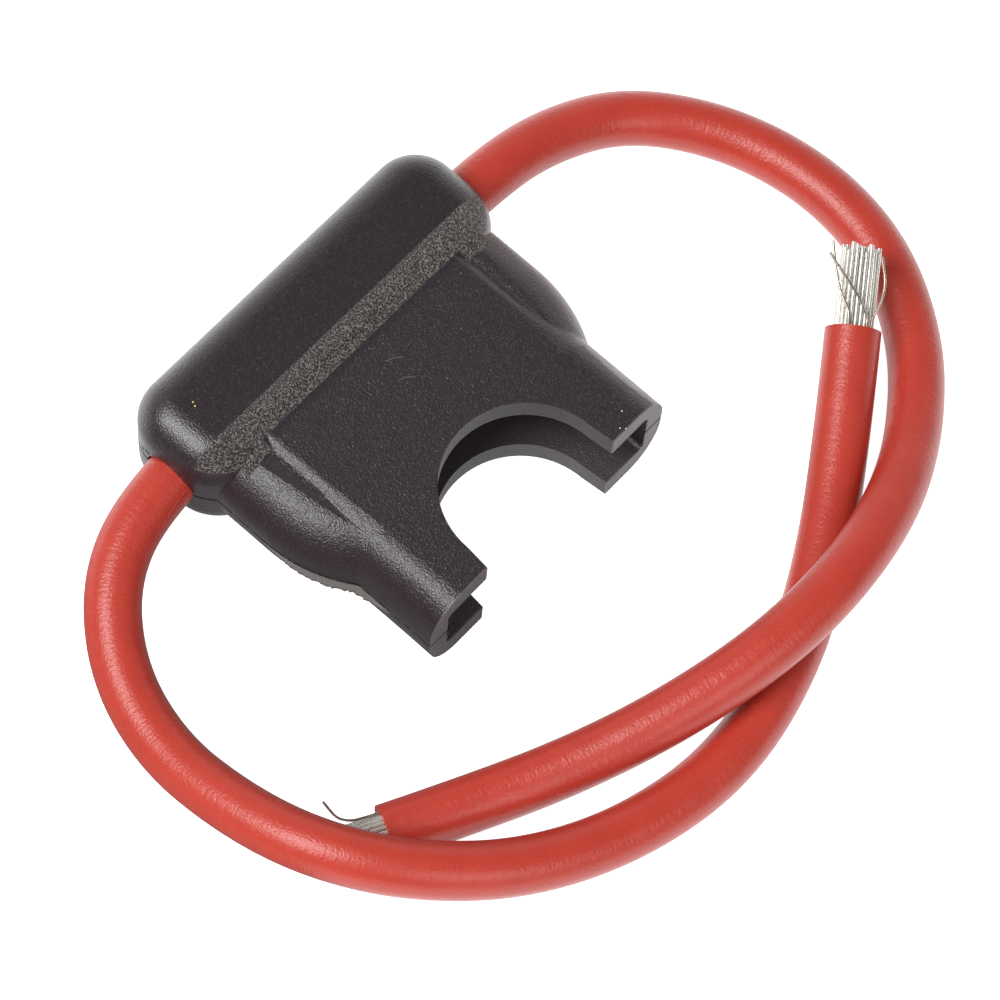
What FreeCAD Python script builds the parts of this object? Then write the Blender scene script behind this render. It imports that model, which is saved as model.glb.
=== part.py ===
import FreeCAD, Part
import math
import os

# Inline holder for one standard blade fuse, on two free leads.
# X runs along the leads' exits, the mouth faces -Y and Z is up.
# The origin is the middle of the housing's footprint, on the surface that it lies on.

# housing, overall
body_depth = 27.0
shoulder_width = 30.6
shoulder_height = 10.0
neck_height = 9.0

# shoulder: the wide back end that the leads leave
shoulder_depth = 10.0
shoulder_edge_r = 2.9
shoulder_front_corner_r = 4.2
shoulder_back_corner_r = 3.5
ramp_end = 3.1
ramp_run = 2.05
ramp_width = 22.0

# neck: the raised flat box that takes the fuse
neck_width = 20.6
neck_edge_r = 1.0

# swell: the rounded sides that meet the neck's top at the mouth
mouth_width = 24.2
mouth_flat_width = 18.4
swell_depth = 5.2
parting_land = 1.3

# wings: the bulges beside the neck
wing_width = 28.4
wing_height = 8.4
wing_edge_r = 3.8
valley_r = 0.6
wing_start = 6.8
wing_full = 13.6
wing_bow_r = 12.0
wing_bow_turn = 65

# fuse pocket and the finger notch through both walls
slot_width = 20.8
slot_height = 5.0
slot_depth = 12.2
slot_corner_r = 0.5
notch_width = 12.7
notch_depth = 8.4
notch_flare = 0.2

# seam between the two shells, and the pins that locate them
seam_width = 0.24
seam_depth = 0.2
pin_d = 1.6
pin_length = 1.5
pin_clearance = 0.1
back_pin_span = 18.0

# leads
lead_d = 4.1
lead_grip = 4.2
lead_back_gap = 2.95
core_d = 2.6
core_fit = 0.05
strand_d = 0.3
strand_pitch = 0.33
strand_rings = 4
strand_unevenness = 0.12
bare_length = 6.2
tucked_length = 4.6
stray_d = 0.2

# terminals, stamped from sheet
sheet = 0.4
blade_pitch = 12.0
socket_width = 7.0
socket_height = 2.9
link_length = 1.7
socket_lip_gap = 2.2
socket_corner_r = 1.1
crimp_wall = 0.4
crimp_length = 5.2
cavity_clearance = 0.15

# places that follow from the sizes
mouth_y = -body_depth / 2
back_y = body_depth / 2
shoulder_front_y = back_y - shoulder_depth
mid_z = shoulder_height / 2
lead_y = back_y - lead_back_gap - lead_d / 2
shoulder_x = shoulder_width / 2
lead_inner_x = shoulder_x - lead_grip
socket_x = blade_pitch / 2
slot_back_y = mouth_y + slot_depth
crimp_r = core_d / 2 + core_fit + crimp_wall
core_end_x = lead_inner_x - crimp_length - 1.2
crimp_start_x = lead_inner_x - crimp_length - 0.6

# the leads' routes, chosen by hand: X, Y and height of the centre line
left_route = [
    (-lead_inner_x, lead_y, mid_z),
    (-17.2, lead_y, mid_z),
    (-23.2, 6.6, 4.1),
    (-27.6, 1.7, 2.7),
    (-29.7, -4.8, 2.5),
    (-29.8, -12.1, 4.5),
    (-28.6, -18.3, 6.2),
    (-25.3, -23.9, 5.9),
    (-19.6, -28.9, 4.2),
    (-12.1, -32.3, 2.6),
    (-3.7, -33.8, 2.05),
    (4.7, -32.3, 2.05),
    (12.3, -28.8, 2.1),
    (19.8, -24.0, 3.2),
    (26.5, -19.1, 5.4),
]
right_route = [
    (lead_inner_x, lead_y, mid_z),
    (17.2, lead_y, mid_z),
    (23.7, 7.9, 3.8),
    (29.9, 5.3, 2.3),
    (34.0, -1.0, 2.05),
    (35.6, -8.5, 2.05),
    (34.5, -15.8, 2.05),
    (30.5, -22.3, 2.05),
    (24.8, -26.9, 2.7),
    (18.5, -29.9, 4.9),
    (10.9, -31.4, 6.7),
    (3.3, -31.1, 6.5),
    (-4.4, -29.0, 4.8),
    (-11.1, -26.1, 2.9),
    (-17.6, -22.8, 2.05),
    (-23.5, -19.8, 2.05),
]

# loose strands: places along, beside and above the end of the lead's jacket
left_strays = [
    [(0, 0.85, 1.35), (0.7, 0.85, 1.35), (1.7, 0.3, 2.0), (3.0, -0.8, 2.35), (4.9, -2.4, 2.6)],
    [(0, 1.2, 1.1), (0.8, 1.2, 1.1), (1.9, 1.7, 1.25), (3.4, 1.9, 1.3), (5.2, 1.4, 1.7)],
    [(0, -0.5, 1.6), (0.9, -0.5, 1.6), (2.4, -1.35, 1.75), (4.2, -1.85, 1.75), (6.0, -2.2, 1.8)],
]
right_strays = [
    [(0, 1.2, 1.1), (0.9, 1.2, 1.1), (2.1, 1.15, 1.5), (3.0, 1.5, 2.0), (3.6, 2.6, 3.0)],
]


def vec(x, y, z):
    return FreeCAD.Vector(x, y, z)


def box(x0, x1, y0, y1, z0, z1):
    return Part.makeBox(x1 - x0, y1 - y0, z1 - z0, vec(x0, y0, z0))


def filled_arc(centre, radius, start, end):
    """An arc edge in the XY plane, between two angles in degrees."""
    circle = Part.Circle(centre, vec(0, 0, 1), radius)
    return Part.Arc(circle, math.radians(start), math.radians(end)).toShape()


def rounded_outline(x, y0, y1, front_r, back_r):
    """A closed outline from -x to x, with one corner radius in front and one behind."""
    line = Part.makeLine
    edges = [
        line(vec(front_r - x, y0, 0), vec(x - front_r, y0, 0)),
        filled_arc(vec(x - front_r, y0 + front_r, 0), front_r, -90, 0),
        line(vec(x, y0 + front_r, 0), vec(x, y1 - back_r, 0)),
        filled_arc(vec(x - back_r, y1 - back_r, 0), back_r, 0, 90),
        line(vec(x - back_r, y1, 0), vec(back_r - x, y1, 0)),
        filled_arc(vec(back_r - x, y1 - back_r, 0), back_r, 90, 180),
        line(vec(-x, y1 - back_r, 0), vec(-x, y0 + front_r, 0)),
        filled_arc(vec(front_r - x, y0 + front_r, 0), front_r, 180, 270),
    ]
    return Part.Wire(edges)


def rounded_bar(width, height, corner_r, y0, y1):
    """A bar along Y about the mid plane, with its long edges rounded."""
    bar = box(-width / 2, width / 2, y0, y1, mid_z - height / 2, mid_z + height / 2)
    long_edges = [e for e in bar.Edges if abs(e.Vertexes[0].Y - e.Vertexes[1].Y) > (y1 - y0) / 2]
    return bar.makeFillet(corner_r, long_edges)


def shoulder():
    """The wide back end: one rounded block, with all its upper and lower edges rounded."""
    outline = rounded_outline(
        shoulder_x, shoulder_front_y, back_y, shoulder_front_corner_r, shoulder_back_corner_r
    )
    block = Part.Face(outline).extrude(vec(0, 0, shoulder_height))
    flat_edges = [e for e in block.Edges if e.BoundBox.ZLength < shoulder_edge_r / 10]
    return block.makeFillet(shoulder_edge_r, flat_edges)


def ramps():
    """The sloping bands that fall from the shoulder's faces past the neck's to the wings'."""
    top_y = shoulder_front_y + ramp_end
    foot_z = mid_z + wing_height / 2
    foot_y = top_y - ramp_run * (shoulder_height - wing_height) / (shoulder_height - neck_height)
    corners = [(foot_y, mid_z), (foot_y, foot_z), (top_y, shoulder_height), (top_y, mid_z), (foot_y, mid_z)]
    outline = Part.makePolygon([vec(-ramp_width / 2, y, z) for y, z in corners])
    upper = Part.Face(outline).extrude(vec(ramp_width, 0, 0))
    return [upper, upper.mirror(vec(0, 0, mid_z), vec(0, 0, 1))]


def quarter_curve(centre, start, end):
    """A quarter of an ellipse about a centre, from one axis to the other."""
    pull = 4 / 3 * (math.sqrt(2) - 1)
    curve = Part.BezierCurve()
    curve.setPoles([start, start + (end - centre) * pull, end + (start - centre) * pull, end])
    return curve.toShape()


def neck_section(y, half_width, half_flat, half_land):
    """Flat top and bottom, elliptical corners, and upright sides as high as the land."""
    half_height = neck_height / 2
    edges = []
    for side, up in ((1, 1), (1, -1), (-1, -1), (-1, 1)):
        centre = vec(side * half_flat, y, mid_z + up * half_land)
        over = centre + vec(0, 0, up * (half_height - half_land))
        out = centre + vec(side * (half_width - half_flat), 0, 0)
        start, end = (over, out) if side == up else (out, over)
        if edges:
            edges.append(Part.makeLine(last, start))
        edges.append(quarter_curve(centre, start, end))
        last = end
    edges.append(Part.makeLine(last, edges[0].Vertexes[0].Point))
    return Part.Wire(edges)


def neck():
    """The fuse's box: rounded and wide at the mouth, narrowing to upright walls between the wings."""
    wide = (mouth_width / 2, mouth_flat_width / 2, parting_land / 2)
    narrow = (neck_width / 2, neck_width / 2 - neck_edge_r, neck_height / 2 - neck_edge_r)
    start_y = mouth_y + wing_start
    sections = []
    steps = 4
    for k in range(steps + 1):
        share = (k / steps) ** 2 * (3 - 2 * k / steps)
        sizes = [a + (b - a) * share for a, b in zip(wide, narrow)]
        sections.append(neck_section(start_y + swell_depth * k / steps, *sizes))
    front = Part.Face(sections[0]).extrude(vec(0, mouth_y - start_y, 0))
    end_y = shoulder_front_y + shoulder_edge_r
    rear = Part.Face(sections[-1]).extrude(vec(0, end_y - start_y - swell_depth, 0))
    return front.fuse([Part.makeLoft(sections, True, False), rear])


def wings():
    """Flanks beside the neck, rounded above and below: straight behind and bowed inwards in front."""
    far = wing_width / 2
    centre_x = far - wing_bow_r
    full_y = mouth_y + wing_full
    low, high = mid_z - wing_height / 2, mid_z + wing_height / 2
    rear = box(centre_x, far, full_y, shoulder_front_y + shoulder_edge_r, low, high)
    outer_edges = [e for e in rear.Edges if e.BoundBox.XMin > far - 1 and e.BoundBox.YLength > 1]
    rear = rear.makeFillet(wing_edge_r, outer_edges)
    front_face = [f for f in rear.Faces if f.BoundBox.YMax < full_y + wing_edge_r / 10][0]
    bow = front_face.revolve(vec(centre_x, full_y, 0), vec(0, 0, 1), -wing_bow_turn)
    return both_sides(rear.fuse(bow).removeSplitter())


def bend_at(form, edge):
    """The angle, in degrees, between the two faces that meet at an edge's middle."""
    faces = form.ancestorsOfType(edge, Part.Face)
    if len(faces) != 2:
        return 0
    middle = edge.valueAt((edge.FirstParameter + edge.LastParameter) / 2)
    normals = []
    for face in faces:
        u, v = face.Surface.parameter(middle)
        normals.append(face.normalAt(u, v))
    return math.degrees(normals[0].getAngle(normals[1]))


def winged_neck():
    """The neck between its wings, with a soft valley where each wing meets the neck."""
    form = neck().fuse(wings()).removeSplitter()
    end_y = shoulder_front_y + shoulder_edge_r
    valleys = []
    for edge in form.Edges:
        middle = edge.CenterOfMass
        beside = neck_width / 2 - neck_edge_r < abs(middle.x) < mouth_width / 2 + neck_edge_r
        inside = mouth_y + 1 < middle.y < end_y - 1
        if beside and inside and bend_at(form, edge) > 12:
            valleys.append(edge)
    return form.makeFillet(valley_r, valleys)


def outer_form():
    """The housing's outside, both halves in one."""
    return shoulder().fuse(ramps() + [winged_neck()]).removeSplitter()


def finger_notch():
    """The U that is cut through both walls at the mouth, a little wider at its open end."""
    r = notch_width / 2
    arc_y = mouth_y + notch_depth - r
    open_y = mouth_y - 1
    open_x = r + notch_flare
    arc = Part.Arc(vec(r, arc_y, 0), vec(0, mouth_y + notch_depth, 0), vec(-r, arc_y, 0)).toShape()
    sides = Part.makePolygon([
        vec(-r, arc_y, 0), vec(-open_x, mouth_y, 0), vec(-open_x, open_y, 0),
        vec(open_x, open_y, 0), vec(open_x, mouth_y, 0), vec(r, arc_y, 0),
    ])
    outline = Part.Wire([arc] + sides.Edges)
    return Part.Face(outline).extrude(vec(0, 0, shoulder_height))


def fuse_pocket():
    return rounded_bar(slot_width, slot_height, slot_corner_r, mouth_y - 1, slot_back_y)


def seam_groove(form):
    """What a shallow groove at the parting plane takes away: a slab around a drawn-in copy."""
    drawn_in = form.copy()
    drawn_in.scale(1 - seam_depth / shoulder_x, vec(0, 0, mid_z))
    low, high = mid_z - seam_width / 2, mid_z + seam_width / 2
    return box(-shoulder_width, shoulder_width, 2 * mouth_y, 2 * back_y, low, high).cut(drawn_in)


def x_cylinder(r, x0, x1):
    return Part.makeCylinder(r, x1 - x0, vec(x0, lead_y, mid_z), vec(1, 0, 0))


def terminal_cavity():
    """The hollow for the right terminal, open to the fuse pocket, with the lead's bore."""
    half = socket_width / 2 + cavity_clearance
    tall = socket_height / 2 + cavity_clearance
    socket = box(socket_x - half, socket_x + half, slot_back_y - 1, lead_y, mid_z - tall, mid_z + tall)
    crimp = x_cylinder(crimp_r + cavity_clearance, core_end_x - cavity_clearance, lead_inner_x)
    bore = x_cylinder(lead_d / 2, lead_inner_x, shoulder_x + 1)
    return socket.fuse([crimp, bore])


def both_sides(shape):
    return [shape, shape.mirror(vec(0, 0, 0), vec(1, 0, 0))]


def pin_places():
    back_pin_y = back_y - lead_back_gap / 2
    return [(-back_pin_span / 2, back_pin_y), (back_pin_span / 2, back_pin_y), (0, (slot_back_y + lead_y) / 2)]


def pins(r, length):
    return [Part.makeCylinder(r, length, vec(x, y, mid_z)) for x, y in pin_places()]


def shells():
    """The two halves of the housing, joined at the parting plane by three pins."""
    form = outer_form()
    body = form.cut([fuse_pocket(), finger_notch(), seam_groove(form)])
    body = body.cut(both_sides(terminal_cavity()))
    lower_half = box(-shoulder_width, shoulder_width, 2 * mouth_y, 2 * back_y, -1, mid_z)
    lower = body.common(lower_half).fuse(pins(pin_d / 2, pin_length))
    upper = body.cut(lower_half).cut(pins(pin_d / 2 + pin_clearance, pin_length + pin_clearance))
    return upper, lower


def right_terminal():
    """A socket for one fuse blade, a short link and a crimp barrel, folded from one sheet."""
    y0 = slot_back_y + cavity_clearance
    y1 = lead_y - crimp_r - link_length
    outside = rounded_bar(socket_width, socket_height, socket_corner_r, y0, y1)
    inside = rounded_bar(
        socket_width - 2 * sheet, socket_height - 2 * sheet, socket_corner_r - sheet, y0 - 1, y1 + 1
    )
    lips = box(-socket_lip_gap / 2, socket_lip_gap / 2, y0 - 1, y1 + 1, mid_z, mid_z + socket_height)
    socket = outside.cut([inside, lips])
    socket.translate(vec(socket_x, 0, 0))
    link_half = socket_width / 2 - socket_corner_r
    floor_z = mid_z - socket_height / 2
    link = box(
        socket_x - link_half, socket_x + link_half, y1 - sheet, lead_y - core_d / 4, floor_z, floor_z + sheet
    )
    barrel = x_cylinder(crimp_r, crimp_start_x, crimp_start_x + crimp_length)
    bore = x_cylinder(core_d / 2 + core_fit, crimp_start_x - 1, crimp_start_x + crimp_length + 1)
    seam = Part.Face(Part.makePolygon([
        vec(crimp_start_x, lead_y - sheet / 2, mid_z + crimp_r),
        vec(crimp_start_x, lead_y + sheet / 2, mid_z + crimp_r),
        vec(crimp_start_x, lead_y, mid_z + core_d / 2 + core_fit + crimp_wall / 4),
        vec(crimp_start_x, lead_y - sheet / 2, mid_z + crimp_r),
    ])).extrude(vec(crimp_length, 0, 0))
    return socket.fuse([link, barrel]).cut([bore, seam]).removeSplitter()


def right_core():
    """The lead's stripped inner end, from the end of the jacket through the crimp."""
    return x_cylinder(core_d / 2, core_end_x, lead_inner_x)


def arc_path(points, name):
    """Straight runs joined by tangent arcs, each as large as its two runs allow."""
    corners = [vec(*p) for p in points]
    edges = []
    radii = []
    at = corners[0]
    for before, corner, after in zip(corners, corners[1:], corners[2:]):
        back = (before - corner)
        on = (after - corner)
        turn = math.pi - back.getAngle(on)
        reach = 0.45 * min(back.Length, on.Length)
        radius = reach / math.tan(turn / 2)
        back.normalize()
        on.normalize()
        start = corner + back * reach
        end = corner + on * reach
        inward = back + on
        inward.normalize()
        middle = corner + inward * (radius / math.cos(turn / 2) - radius)
        edges.append(Part.LineSegment(at, start).toShape())
        edges.append(Part.Arc(start, middle, end).toShape())
        radii.append(round(radius, 1))
        at = end
    edges.append(Part.LineSegment(at, corners[-1]).toShape())
    path = Part.Wire(edges)
    print(name, "length", round(path.Length, 2), "bend radii", radii)
    return path


def tube(points, diameter, name):
    """A round cord along a path, with its volume tested against section times length."""
    path = arc_path(points, name)
    first = vec(*points[1]) - vec(*points[0])
    ring = Part.Wire(Part.Circle(vec(*points[0]), first, diameter / 2).toShape())
    solid = path.makePipeShell([ring], True, False)
    expected = math.pi * diameter ** 2 / 4 * path.Length
    print(name, "volume over section times length", round(solid.Volume / expected, 5))
    return solid


def lead_end(route):
    """Where a lead's jacket stops: the place, the way it points, its side and its upper side."""
    end = vec(*route[-1])
    along = end - vec(*route[-2])
    along.normalize()
    side = along.cross(vec(0, 0, 1))
    side.normalize()
    return end, along, side, side.cross(along)


def strand_bundle(route, length):
    """A lead's bare end: rings of straight strands, cut off unevenly."""
    end, along, side, up = lead_end(route)
    strands = []
    for ring in range(strand_rings + 1):
        count = max(1, 6 * ring)
        for k in range(count):
            angle = 2 * math.pi * (k + 0.5 * ring) / count
            spoke = side * math.cos(angle) + up * math.sin(angle)
            root = end + spoke * (strand_pitch * ring)
            shorter = strand_unevenness * ((5 * k + 3 * ring) % 7) / 6
            strands.append(Part.makeCylinder(strand_d / 2, length * (1 - shorter), root, along))
    return Part.makeCompound(strands)


def stray_strands(route, lines, name):
    """Single loose strands; each place is given along, beside and above the lead's end."""
    end, along, side, up = lead_end(route)
    strands = []
    for number, line in enumerate(lines, 1):
        points = [end + along * a + side * s + up * h for a, s, h in line]
        strands.append(tube(points, stray_d, name + " " + str(number)))
    return Part.makeCompound(strands)


def build():
    upper, lower = shells()
    terminal = both_sides(right_terminal())
    core = both_sides(right_core())
    return {
        "upper_shell": upper,
        "lower_shell": lower,
        "left_terminal": terminal[1],
        "right_terminal": terminal[0],
        "left_crimped_core": core[1],
        "right_crimped_core": core[0],
        "left_lead": tube(left_route, lead_d, "left lead"),
        "right_lead": tube(right_route, lead_d, "right lead"),
        "left_lead_strands": strand_bundle(left_route, bare_length),
        "right_lead_strands": strand_bundle(right_route, tucked_length),
        "left_stray_strands": stray_strands(left_route, left_strays, "left stray"),
        "right_stray_strand": stray_strands(right_route, right_strays, "right stray"),
    }


os.makedirs("parts", exist_ok=True)
for name, shape in build().items():
    shape.exportStep("parts/" + name + ".step")
    print(name, "solids", len(shape.Solids), "volume", round(shape.Volume, 2), "valid", shape.isValid())
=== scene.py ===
# %% [markdown]
# # Inline blade fuse holder
# The frame from the CAD model comes first. Every piece below rides on it, so the picture, the
# solids and the simulation all share one place and one scale. Lengths are in metres.
# %% Load the frame
import math
import random

import bmesh
import bpy
from mathutils import Matrix, Vector


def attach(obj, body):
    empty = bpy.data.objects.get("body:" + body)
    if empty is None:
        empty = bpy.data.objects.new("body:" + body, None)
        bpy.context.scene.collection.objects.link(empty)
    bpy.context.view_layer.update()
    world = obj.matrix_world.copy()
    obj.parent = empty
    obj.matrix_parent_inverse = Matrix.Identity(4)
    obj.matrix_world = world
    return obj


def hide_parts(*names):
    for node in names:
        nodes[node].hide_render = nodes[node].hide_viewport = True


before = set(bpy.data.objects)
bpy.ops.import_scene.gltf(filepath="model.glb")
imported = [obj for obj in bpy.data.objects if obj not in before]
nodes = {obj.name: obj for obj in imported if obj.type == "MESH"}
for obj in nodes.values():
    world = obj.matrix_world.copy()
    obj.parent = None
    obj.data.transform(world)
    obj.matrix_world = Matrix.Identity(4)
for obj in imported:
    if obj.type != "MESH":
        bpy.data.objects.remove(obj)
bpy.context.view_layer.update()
scene = bpy.context.scene
mm = 0.001

print("CAD pieces:", len(nodes))

# %% [markdown]
# ## Camera
# The photo was taken from high up in front of the left wing, with a long lens. The place was found
# by matching the mouth's corners, the notch and the shoulder's ends, so it is kept as numbers.
# The lens is long, so near and far ends of the housing look almost equally large.
# %% Camera
camera_place = Vector((-108.249, -87.294, 303.339)) * mm
azimuth, elevation, roll = math.radians(-54.164), math.radians(66.0), math.radians(6.908)
sensor_width = 36.0
focal_in_pixels, picture_width = 4653.1, 1000

back = Vector((
    math.sin(azimuth) * math.cos(elevation),
    -math.cos(azimuth) * math.cos(elevation),
    math.sin(elevation),
))
level = Vector((0, 0, 1)).cross(back).normalized()
upright = back.cross(level)
right = level * math.cos(roll) + upright * math.sin(roll)
up = upright * math.cos(roll) - level * math.sin(roll)

camera_data = bpy.data.cameras.new("camera")
camera_data.lens = focal_in_pixels / picture_width * sensor_width
camera_data.sensor_width = sensor_width
camera_data.clip_start = 0.01
camera_data.clip_end = 5
camera = bpy.data.objects.new("camera", camera_data)
rotation = Matrix((right, up, back)).transposed()
camera.matrix_world = Matrix.Translation(camera_place) @ rotation.to_4x4()
scene.collection.objects.link(camera)
scene.camera = camera
print("camera lens", round(camera_data.lens, 1), "mm")

# %% [markdown]
# ## The two leads
# Each lead is one smooth curve through the same points that the CAD tube has, with a
# round section. A curve bends more evenly than runs joined by arcs, which is how soft insulated
# wire lies after it has been unrolled. Each point holds the real radius, because a curve's box
# reaches as far round its points as that value says.
# %% Leads
bevel_per_radius = 1.0
lead_diameter = 4.1 * mm
left_route = [
    (-11.1, 8.5, 5.0), (-17.2, 8.5, 5.0), (-23.2, 6.6, 4.1), (-27.6, 1.7, 2.7),
    (-29.7, -4.8, 2.5), (-29.8, -12.1, 4.5), (-28.6, -18.3, 6.2), (-25.3, -23.9, 5.9),
    (-19.6, -28.9, 4.2), (-12.1, -32.3, 2.6), (-3.7, -33.8, 2.05), (4.7, -32.3, 2.05),
    (12.3, -28.8, 2.1), (19.8, -24.0, 3.2), (26.5, -19.1, 5.4),
]
right_route = [
    (11.1, 8.5, 5.0), (17.2, 8.5, 5.0), (23.7, 7.9, 3.8), (29.9, 5.3, 2.3),
    (34.0, -1.0, 2.05), (35.6, -8.5, 2.05), (34.5, -15.8, 2.05), (30.5, -22.3, 2.05),
    (24.8, -26.9, 2.7), (18.5, -29.9, 4.9), (10.9, -31.4, 6.7), (3.3, -31.1, 6.5),
    (-4.4, -29.0, 4.8), (-11.1, -26.1, 2.9), (-17.6, -22.8, 2.05), (-23.5, -19.8, 2.05),
]


def lead(name, route):
    curve = bpy.data.curves.new(name, "CURVE")
    curve.dimensions = "3D"
    spline = curve.splines.new("NURBS")
    spline.points.add(len(route) - 1)
    for point, place in zip(spline.points, route):
        point.co = (*(Vector(place) * mm), 1)
        point.radius = lead_diameter / 2
    spline.order_u = 3
    spline.use_endpoint_u = True
    spline.resolution_u = 16
    curve.bevel_depth = bevel_per_radius
    curve.bevel_resolution = 10
    curve.use_fill_caps = True
    obj = bpy.data.objects.new(name, curve)
    scene.collection.objects.link(obj)
    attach(obj, "root")
    return obj


leads = {
    "left": lead("left_lead_jacket", left_route),
    "right": lead("right_lead_jacket", right_route),
}
print("leads:", ", ".join(leads))

for side, obj in leads.items():
    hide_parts(side + "_lead")

# %% [markdown]
# ## Materials
# Helpers first: every finish starts from one Principled shader whose sockets get plain values, and
# fine relief is added as bump, because grain this small would cost too many faces as real shape.
# %% Material helpers


def finish(name, colour, roughness, metallic=0.0, specular=0.5):
    material = bpy.data.materials.new(name)
    material.use_nodes = True
    tree = material.node_tree
    shader = tree.nodes["Principled BSDF"]
    shader.inputs["Base Color"].default_value = (*colour, 1)
    shader.inputs["Roughness"].default_value = roughness
    shader.inputs["Metallic"].default_value = metallic
    shader.inputs["Specular IOR Level"].default_value = specular
    return material, tree, shader


def object_place(tree):
    return tree.nodes.new("ShaderNodeTexCoord").outputs["Object"]


def noise(tree, place, size, detail=3.0, roughness=0.55):
    """A noise whose grains are about size metres across."""
    node = tree.nodes.new("ShaderNodeTexNoise")
    node.inputs["Scale"].default_value = 1 / size
    node.inputs["Detail"].default_value = detail
    node.inputs["Roughness"].default_value = roughness
    tree.links.new(place, node.inputs["Vector"])
    return node.outputs["Fac"]


def math_node(tree, operation, a, b=None, clamp=False):
    node = tree.nodes.new("ShaderNodeMath")
    node.operation = operation
    node.use_clamp = clamp
    for socket, value in zip(node.inputs, (a, b)):
        if isinstance(value, bpy.types.NodeSocket):
            tree.links.new(value, socket)
        elif value is not None:
            socket.default_value = value
    return node.outputs[0]


def xyz(tree, vector):
    """The three single values of a vector."""
    node = tree.nodes.new("ShaderNodeSeparateXYZ")
    tree.links.new(vector, node.inputs[0])
    return node.outputs[0], node.outputs[1], node.outputs[2]


def spread(tree, value, low, high, to_low, to_high):
    """Maps a value's range smoothly onto another one."""
    node = tree.nodes.new("ShaderNodeMapRange")
    node.interpolation_type = "SMOOTHSTEP"
    node.inputs["From Min"].default_value = low
    node.inputs["From Max"].default_value = high
    node.inputs["To Min"].default_value = to_low
    node.inputs["To Max"].default_value = to_high
    tree.links.new(value, node.inputs["Value"])
    return node.outputs["Result"]


def bump(tree, height, depth, strength=1.0, normal=None):
    """Relief of a real depth in metres."""
    node = tree.nodes.new("ShaderNodeBump")
    node.inputs["Strength"].default_value = strength
    node.inputs["Distance"].default_value = depth
    tree.links.new(height, node.inputs["Height"])
    if normal is not None:
        tree.links.new(normal, node.inputs["Normal"])
    return node.outputs["Normal"]


def tint(tree, factor, first, second):
    """A mix of two colours, each a plain one or another node's output."""
    node = tree.nodes.new("ShaderNodeMix")
    node.data_type = "RGBA"
    for name, colour in (("A", first), ("B", second)):
        if isinstance(colour, bpy.types.NodeSocket):
            tree.links.new(colour, node.inputs[name])
        else:
            node.inputs[name].default_value = (*colour, 1)
    tree.links.new(factor, node.inputs["Factor"])
    return node.outputs["Result"]


def grainy(name, colour, roughness, grain, depth):
    """A plain finish with an even fine grain."""
    material, tree, shader = finish(name, colour, roughness)
    tree.links.new(bump(tree, noise(tree, object_place(tree), grain), depth), shader.inputs["Normal"])
    return material


# %% [markdown]
# ### Moulded housing
# Black filled nylon from a spark-eroded tool: fine grain everywhere, a much coarser grain on the
# sloping band in front of the shoulder, and a smoother, slightly shiny shoulder. Masks worked out
# from the place on the housing say where each of them is. The hollow beside the neck's ridge is
# a bump too, deepest at the ridge and wider towards the back. The colour also carries painted
# light: the highest specks of the grain are painted paler as glints of the key light, most of all
# on the band, the slot's inner walls are painted lighter as light in that recess, and the mouth's
# end face is painted paler.
# %% Housing finish
band_foot, band_head = 4.4 * mm, 6.55 * mm
wing_back_face, wing_top = 3.35 * mm, 9.25 * mm
band_lowest = 8.6 * mm
band_softness = 0.15 * mm
mid_height = 5.0 * mm
shoulder_start, shoulder_softness = 3.9 * mm, 0.4 * mm
ridge_foot, ridge_width = 10.35 * mm, 0.2 * mm
valley_front, valley_growth, valley_slope = -5.5 * mm, 0.13, 0.4
right_valley = 0.35
mouth_face, slot_half_height = -13.4 * mm, 2.55 * mm
fine_grain, fine_depth = 0.16 * mm, 0.062 * mm
band_grain, band_depth = 0.145 * mm, 0.27 * mm
# The nylon's own colour, then a paler one painted onto the grain's highest specks as painted glints
# of the key light.
nylon, nylon_painted_glint = (0.018, 0.0115, 0.0155), (0.032, 0.024, 0.028)
# A pale colour painted onto the band's coarse grain as painted glints. It also paints the band
# brighter overall, standing in for the key light that its forward slope catches.
band_painted_glint = (0.16, 0.146, 0.122)
# The slot's inner walls take the second colour, painted lighter than the nylon as painted light in
# that shaded recess.
pale_mouth_face, slot_painted_light = (0.085, 0.073, 0.072), (0.042, 0.034, 0.037)


def edge(tree, value, place, softness=0.06 * mm):
    """0 below a place and 1 above it, with a narrow soft step."""
    return spread(tree, value, place - softness, place + softness, 0, 1)


def both(tree, *masks):
    """1 only where every mask is 1."""
    result = masks[0]
    for mask in masks[1:]:
        result = math_node(tree, "MULTIPLY", result, mask)
    return result


def inverse(tree, mask):
    return math_node(tree, "SUBTRACT", 1.0, mask)


housing, tree, shader = finish("moulded_black_nylon", nylon, 0.35, specular=0.7)
place = object_place(tree)
sideways, along, upwards = xyz(tree, place)
across = math_node(tree, "ABSOLUTE", sideways)
off_middle = math_node(tree, "ABSOLUTE", math_node(tree, "SUBTRACT", upwards, mid_height))
on_neck_top = both(
    tree,
    inverse(tree, edge(tree, across, ridge_foot - ridge_width)),
    edge(tree, off_middle, wing_top - mid_height),
)
before_band = both(tree, on_neck_top, inverse(tree, edge(tree, along, band_foot)))
in_band = both(
    tree,
    edge(tree, along, wing_back_face),
    inverse(tree, edge(tree, along, band_head, band_softness)),
    edge(tree, off_middle, band_lowest - mid_height, band_softness),
    inverse(tree, before_band),
)
behind_start = edge(tree, along, shoulder_start, shoulder_softness)
on_shoulder = both(tree, behind_start, inverse(tree, in_band))


def relief(tree, grain, mask):
    """Grain about its own middle height, so that a mask's border makes no step."""
    return math_node(tree, "MULTIPLY", math_node(tree, "SUBTRACT", grain, 0.5), mask)


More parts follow.
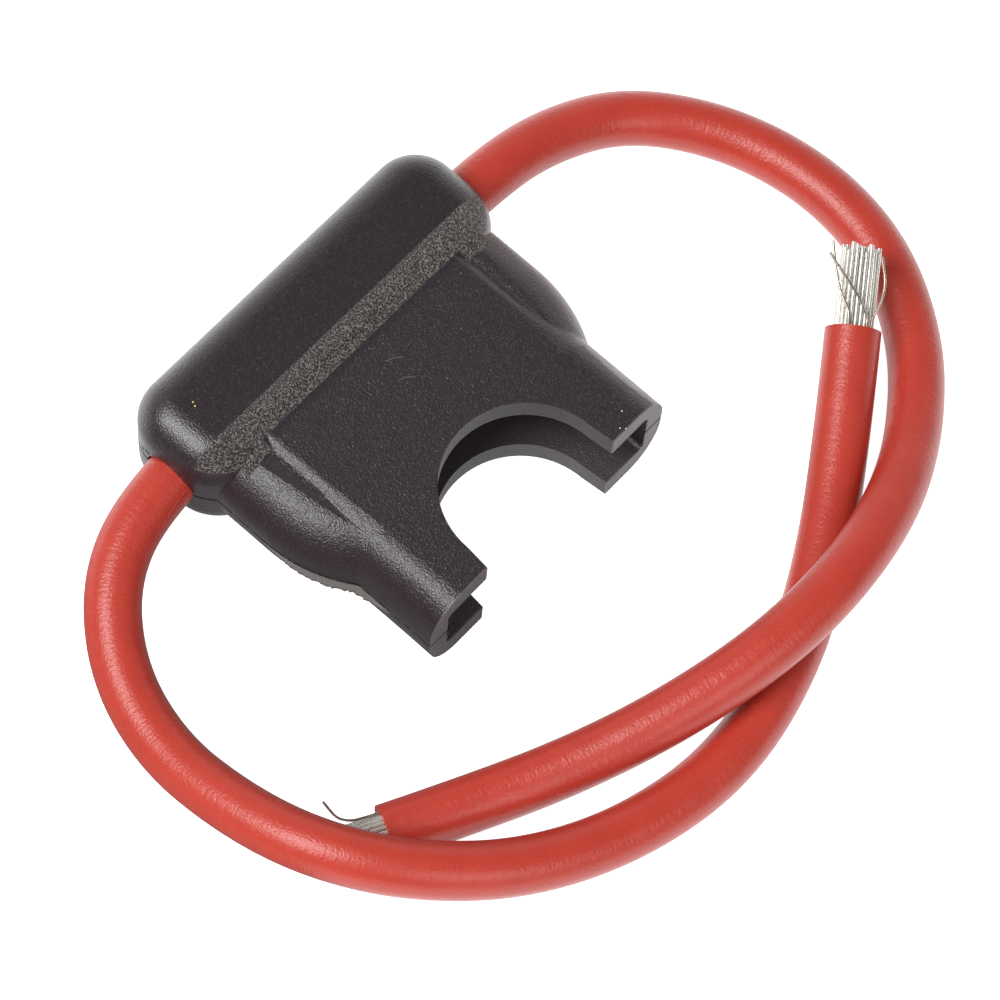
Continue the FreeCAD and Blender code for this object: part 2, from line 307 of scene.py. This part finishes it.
fine = noise(tree, place, fine_grain, detail=2.0)
coarse = noise(tree, place, band_grain, detail=2.0)
behind_front = math_node(tree, "SUBTRACT", along, valley_front)
valley_edge = math_node(tree, "MULTIPLY", behind_front, valley_growth)
past_ridge = math_node(tree, "SUBTRACT", across, ridge_foot)
valley = both(
    tree,
    math_node(tree, "MAXIMUM", math_node(tree, "SUBTRACT", valley_edge, past_ridge), 0.0),
    edge(tree, across, ridge_foot),
    inverse(tree, edge(tree, along, wing_back_face)),
    spread(tree, sideways, -1 * mm, 1 * mm, 1.0, right_valley),
)
normal = bump(tree, math_node(tree, "MULTIPLY", valley, -valley_slope), 1.0)
fine_share = spread(tree, on_shoulder, 0, 1, 1.0, 0.7)
normal = bump(tree, relief(tree, fine, fine_share), fine_depth, normal=normal)
normal = bump(tree, relief(tree, coarse, in_band), band_depth, normal=normal)
tree.links.new(normal, shader.inputs["Normal"])
tree.links.new(spread(tree, on_shoulder, 0, 1, 0.35, 0.32), shader.inputs["Roughness"])

# Painted highlights: the highest specks of the fine grain take a paler colour that stands for glints
# of the key light.
painted_glints = tint(tree, spread(tree, fine, 0.54, 0.7, 0, 1), nylon, nylon_painted_glint)
# Painted glints on the band: the upper part of its coarse grain takes the pale glint colour, which
# also makes the band brighter overall.
band_with_painted_glints = tint(tree, spread(tree, coarse, 0.46, 0.62, 0, 1), nylon, band_painted_glint)
in_slot = both(
    tree,
    inverse(tree, edge(tree, off_middle, slot_half_height, 0.01 * mm)),
    inverse(tree, edge(tree, across, ridge_foot)),
)
# The mouth's end face is painted paler than the rest of the nylon.
on_mouth = inverse(tree, edge(tree, along, mouth_face, 0.02 * mm))
colour = tint(tree, in_band, painted_glints, band_with_painted_glints)
# Painted light: the slot's inner walls are painted lighter than the nylon, standing in for light in
# that recess.
colour = tint(tree, in_slot, colour, slot_painted_light)
colour = tint(tree, on_mouth, colour, pale_mouth_face)
tree.links.new(colour, shader.inputs["Base Color"])
print("housing finish:", len(tree.nodes), "nodes")

# %% [markdown]
# ### Red insulation
# Soft vinyl. The colour wanders a little, and short fine strokes run across the lead with a matte
# grain over them, so the highlight breaks up as it does on extruded wire. The strokes follow the
# curve's own coordinates, along it and round it.
# %% Red insulation finish
strokes_along, strokes_around = 300, 9
deep_red, pale_red = (0.38, 0.03, 0.017), (0.46, 0.043, 0.026)
red, tree, shader = finish("red_vinyl_insulation", (0.42, 0.036, 0.02), 0.34)
place = object_place(tree)
wander = noise(tree, place, 2.5 * mm, detail=2.0)
tree.links.new(tint(tree, wander, deep_red, pale_red), shader.inputs["Base Color"])
lengthwise, round_about = xyz(tree, tree.nodes.new("ShaderNodeTexCoord").outputs["UV"])[:2]
stretched = tree.nodes.new("ShaderNodeCombineXYZ")
tree.links.new(math_node(tree, "MULTIPLY", lengthwise, strokes_along), stretched.inputs[0])
tree.links.new(math_node(tree, "MULTIPLY", round_about, strokes_around), stretched.inputs[1])
strokes = noise(tree, stretched.outputs[0], 1.0, detail=2.0)
normal = bump(tree, relief(tree, strokes, 1.0), 0.036 * mm)
normal = bump(tree, noise(tree, place, 0.2 * mm), 0.035 * mm, normal=normal)
tree.links.new(normal, shader.inputs["Normal"])

# %% [markdown]
# ### Tinned wire and terminals
# Tin over copper is a pale, slightly warm silver, and a loose strand has lost some of its tin. The
# shine wanders from patch to patch, over a very fine relief.
# %% Metal finishes


def worn_metal(name, colour, metallic, patch, smooth, rough, grain, depth):
    material, tree, shader = finish(name, colour, 0.3, metallic=metallic)
    place = object_place(tree)
    shine = spread(tree, noise(tree, place, patch), 0.3, 0.7, smooth, rough)
    tree.links.new(shine, shader.inputs["Roughness"])
    tree.links.new(bump(tree, noise(tree, place, grain), depth), shader.inputs["Normal"])
    return material


tinned = worn_metal(
    "tinned_copper_wire", (0.8, 0.785, 0.72), 0.75, 0.4 * mm, 0.26, 0.34, 0.2 * mm, 0.002 * mm
)
dull = worn_metal(
    "dull_copper_wire", (0.42, 0.36, 0.31), 0.9, 0.2 * mm, 0.22, 0.4, 0.2 * mm, 0.002 * mm
)
sheet_metal = worn_metal(
    "tinned_sheet", (0.74, 0.72, 0.66), 1.0, 0.3 * mm, 0.25, 0.45, 0.15 * mm, 0.004 * mm
)
print("metals:", tinned.name, dull.name, sheet_metal.name)

# %% [markdown]
# ## Dressing the pieces
# Each finish is put on its pieces. The list also carries the slot names of the parts record, but the
# code does not use them.
# %% Dress the pieces
finishes = [
    ("housing", housing, ["upper_shell", "lower_shell"]),
    ("terminal", sheet_metal, ["left_terminal", "right_terminal"]),
    ("strand", tinned, ["left_crimped_core", "right_crimped_core"]),
    ("strand", tinned, ["left_lead_strands", "right_lead_strands"]),
    ("strand", dull, ["left_stray_strands", "right_stray_strand"]),
]
for slot_name, material, names in finishes:
    for name in names:
        nodes[name].data.materials.clear()
        nodes[name].data.materials.append(material)
for obj in leads.values():
    obj.data.materials.append(red)
print("dressed:", ", ".join(name for slot_name, material, names in finishes for name in names))

# %% [markdown]
# ## Small marks
# The photo shows a few specks, crumbs of plastic at the left exit and in the slot, two faint arc
# scratches and a crease in the left lead. Each one is placed where the camera sees it, on the
# surface that it belongs to.
# %% Marks
bpy.context.view_layer.update()
graph = bpy.context.evaluated_depsgraph_get()
picture_middle = picture_width / 2


def seen_at(pixel):
    """The place and the outward normal of the surface that a picture place shows."""
    x, y = pixel
    ray = right * (x - picture_middle) + up * (picture_middle - y) - back * focal_in_pixels
    return scene.ray_cast(graph, camera_place, ray.normalized())[1:3]


def dress(obj, material):
    scene.collection.objects.link(obj)
    obj.data.materials.append(material)
    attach(obj, "root")


def specks(name, pixels, radius, material):
    """Flat grains, half sunk into the surface."""
    ball = bmesh.new()
    for pixel in pixels:
        place, normal = seen_at(pixel)
        turn = normal.to_track_quat("Z", "Y").to_matrix().to_4x4()
        squash = Matrix.Diagonal((1.0, 1.0, 0.5, 1.0))
        bmesh.ops.create_icosphere(
            ball, subdivisions=2, radius=radius, matrix=Matrix.Translation(place) @ turn @ squash
        )
    mesh = bpy.data.meshes.new(name)
    ball.to_mesh(mesh)
    ball.free()
    dress(bpy.data.objects.new(name, mesh), material)


def thread(name, pixels, width, material, rise=0.0):
    """A thin raised line through places in the picture, mostly sunk into the surface."""
    curve = bpy.data.curves.new(name, "CURVE")
    curve.dimensions = "3D"
    spline = curve.splines.new("NURBS")
    spline.points.add(len(pixels) - 1)
    for point, pixel in zip(spline.points, pixels):
        place, normal = seen_at(pixel)
        point.co = (*(place - normal * (width / 2 - rise)), 1)
        point.radius = width / 2
    spline.order_u = 3
    spline.use_endpoint_u = True
    curve.bevel_depth = bevel_per_radius
    curve.bevel_resolution = 2
    dress(bpy.data.objects.new(name, curve), material)


yellow_speck = grainy("yellow_speck", (0.55, 0.5, 0.12), 0.5, 0.05 * mm, 0.01 * mm)
pale_speck = grainy("pale_speck", (0.5, 0.5, 0.48), 0.5, 0.05 * mm, 0.01 * mm)
scuffed = grainy("scuffed_nylon", (0.085, 0.078, 0.08), 0.5, 0.1 * mm, 0.03 * mm)

yellow_places = [(193, 402), (195, 406)]
pale_places = [(620, 428), (626, 428.5), (622, 411)]
scratch_width, scratch_rise = 0.1 * mm, 0.012 * mm
upper_scratch = [(386, 361), (391, 358.5), (397, 357), (404, 357)]
lower_scratch = [(399, 380), (404, 377.5), (410, 376.5), (416, 377)]
exit_crumbs = [(146, 451), (148, 453), (143, 448)]
slot_crumbs = [(450, 617), (449, 622), (450.5, 627), (448, 633), (446, 637)]
crease_places = [(187, 490), (182, 496), (175, 506), (169, 516), (163, 528)]
specks("yellow_specks", yellow_places, 0.07 * mm, yellow_speck)
specks("pale_specks", pale_places, 0.06 * mm, pale_speck)
specks("exit_crumbs", exit_crumbs, 0.13 * mm, scuffed)
specks("slot_crumbs", slot_crumbs, 0.14 * mm, housing)
thread("upper_scratch", upper_scratch, scratch_width, scuffed, rise=scratch_rise)
thread("lower_scratch", lower_scratch, scratch_width, scuffed, rise=scratch_rise)
thread("lead_crease", crease_places, 0.16 * mm, red, rise=0.05 * mm)
print("marks: specks, crumbs, scratches, crease")

# %% [markdown]
# ### Flash on the seam
# The left wing carries a thin ragged strip of plastic on its lower lip, where the mould let some
# out. It is swept along the lip, and swells and dies away again.
# %% Seam flash
beside_wing, lip_drop = -20 * mm, 0.3 * mm


def lip_place(y):
    """Where the lower shell's outer lip is, at a place along the left wing."""
    start = Vector((beside_wing, y, mid_height - lip_drop))
    return scene.ray_cast(graph, start, Vector((1, 0, 0)))[1]


torn = grainy("torn_nylon_edge", (0.11, 0.095, 0.09), 0.55, 0.12 * mm, 0.05 * mm)
dice = random.Random(7)
flash_front, flash_back, flash_steps = -9.6 * mm, 0.4 * mm, 64
flash_reach, flash_raggedness, sunk = 0.42, 0.2, 0.2 * mm
top, foot = mid_height - 0.16 * mm, mid_height - 0.6 * mm
corners, faces = [], []
for step in range(flash_steps + 1):
    share = step / flash_steps
    lip = lip_place(flash_front + (flash_back - flash_front) * share)
    swell = math.sin(math.pi * share ** 0.75) ** 1.3
    reach = swell * (flash_reach + dice.uniform(0, flash_raggedness)) * mm
    corners += [
        (lip.x + sunk, lip.y, foot),
        (lip.x - reach, lip.y, foot + 0.06 * mm),
        (lip.x - reach, lip.y, top - 0.1 * mm),
        (lip.x + sunk, lip.y, top),
    ]
    if step:
        new, old = 4 * step, 4 * step - 4
        faces += [(old + k, old + (k + 1) % 4, new + (k + 1) % 4, new + k) for k in range(4)]
faces += [(3, 2, 1, 0), tuple(4 * flash_steps + k for k in range(4))]
flash_mesh = bpy.data.meshes.new("seam_flash")
flash_mesh.from_pydata(corners, [], faces)
dress(bpy.data.objects.new("seam_flash", flash_mesh), torn)
print("flash:", len(faces), "faces")

# %% [markdown]
# ## Floor and background
# The photo's ground is pure white. The floor is a plain white sheet that takes the object's shadow
# and glows to the camera, so it reads as white paper. The black housing mirrors what is round it,
# so for mirrored rays the floor and the sky are dim at the front left and bright at the back right.
# %% Floor
ambient, ceiling = 0.42, 0.06
paper_glow, paper_white, black = 0.93, (0.85, 0.85, 0.85), (0, 0, 0)
half, below = 1.5, 0.02 * mm
floor_corners = [(-half, -half, 0), (half, -half, 0), (half, half, 0), (-half, half, 0)]
floor_mesh = bpy.data.meshes.new("floor")
floor_mesh.from_pydata(floor_corners, [], [(0, 1, 2, 3)])
floor = bpy.data.objects.new("floor", floor_mesh)
floor.location.z = -below
scene.collection.objects.link(floor)


def ray_kinds(tree):
    """1 or 0 for rays from the camera, and for rays that a mirror or glass sent on."""
    rays = tree.nodes.new("ShaderNodeLightPath")
    mirrored, passed = rays.outputs["Is Glossy Ray"], rays.outputs["Is Transmission Ray"]
    return rays.outputs["Is Camera Ray"], math_node(tree, "MAXIMUM", mirrored, passed)


def bright_side(tree, rightwards, backwards, low, high, dim):
    """Dim at the front left and bright at the back right, as the tent round the object is."""
    return spread(tree, math_node(tree, "ADD", rightwards, backwards), low, high, dim, 1.0)


paper = bpy.data.materials.new("white_paper")
paper.use_nodes = True
tree = paper.node_tree
tree.nodes.clear()
glow = tree.nodes.new("ShaderNodeEmission")
from_camera, sent_on = ray_kinds(tree)
rightwards, backwards = xyz(tree, object_place(tree))[:2]
sheen = bright_side(tree, rightwards, backwards, -20 * mm, 14 * mm, 0.15)
near_front = spread(tree, backwards, -26 * mm, -16 * mm, 1, 0)
sheen = math_node(tree, "MAXIMUM", sheen, near_front)
seen = math_node(tree, "MAXIMUM", from_camera, math_node(tree, "MULTIPLY", sent_on, sheen))
tree.links.new(math_node(tree, "MULTIPLY", seen, paper_glow), glow.inputs["Strength"])
diffuse = tree.nodes.new("ShaderNodeBsdfDiffuse")
dimmed = math_node(tree, "MULTIPLY", sent_on, inverse(tree, sheen))
tree.links.new(tint(tree, dimmed, paper_white, black), diffuse.inputs["Color"])
lit_and_glowing = tree.nodes.new("ShaderNodeAddShader")
tree.links.new(diffuse.outputs[0], lit_and_glowing.inputs[0])
tree.links.new(glow.outputs[0], lit_and_glowing.inputs[1])
output = tree.nodes.new("ShaderNodeOutputMaterial")
tree.links.new(lit_and_glowing.outputs[0], output.inputs["Surface"])
floor_mesh.materials.append(paper)
print("floor:", paper.name)

# %% [markdown]
# ### Sky
# White to the camera, an even soft light to everything else, and a bright low cove in mirrors.
# %% World
world = bpy.data.worlds.new("studio")
scene.world = world
world.use_nodes = True
tree = world.node_tree
tree.nodes.clear()
sky_way = tree.nodes.new("ShaderNodeTexCoord").outputs["Generated"]
rightwards, backwards, upwards = xyz(tree, sky_way)
open_side = bright_side(tree, rightwards, backwards, 0.1, 1.0, 0.0)
low = spread(tree, upwards, 0.3, 0.9, 1, 0)
cove = spread(tree, math_node(tree, "MULTIPLY", low, open_side), 0, 1, ceiling, 1.0)
from_camera, sent_on = ray_kinds(tree)
seen = math_node(tree, "MAXIMUM", from_camera, math_node(tree, "MULTIPLY", sent_on, cove))
unseen = math_node(tree, "SUBTRACT", 1.0, math_node(tree, "MAXIMUM", from_camera, sent_on))
strength = math_node(tree, "ADD", seen, math_node(tree, "MULTIPLY", unseen, ambient))
sky = tree.nodes.new("ShaderNodeBackground")
sky.inputs["Color"].default_value = (1, 1, 1, 1)
tree.links.new(strength, sky.inputs["Strength"])
output = tree.nodes.new("ShaderNodeOutputWorld")
tree.links.new(sky.outputs[0], output.inputs["Surface"])

# %% [markdown]
# ## Lamps
# Two large soft boxes, as round a small product: the key stands above, to the left and a little
# behind, and a weaker one stands in front.
# %% Lamps


def soft_box(name, place, target, size, power):
    light = bpy.data.lights.new(name, "AREA")
    light.shape = "SQUARE"
    light.size = size
    light.energy = power
    obj = bpy.data.objects.new(name, light)
    obj.location = place
    obj.rotation_mode = "QUATERNION"
    obj.rotation_quaternion = (Vector(target) - Vector(place)).to_track_quat("-Z", "Y")
    scene.collection.objects.link(obj)
    return obj


middle, lamp_distance = Vector((0, -0.008, 0.005)), 0.6
key_way, front_way = Vector((-0.52, 0.25, 0.82)), Vector((-0.2, -0.77, 0.6))
soft_box("key_box", middle + lamp_distance * key_way, middle, 0.34, 4.0)
soft_box("front_box", middle + lamp_distance * front_way, middle, 0.3, 1.0)
scene.view_settings.view_transform = "Standard"
print("lamps: key_box, front_box")
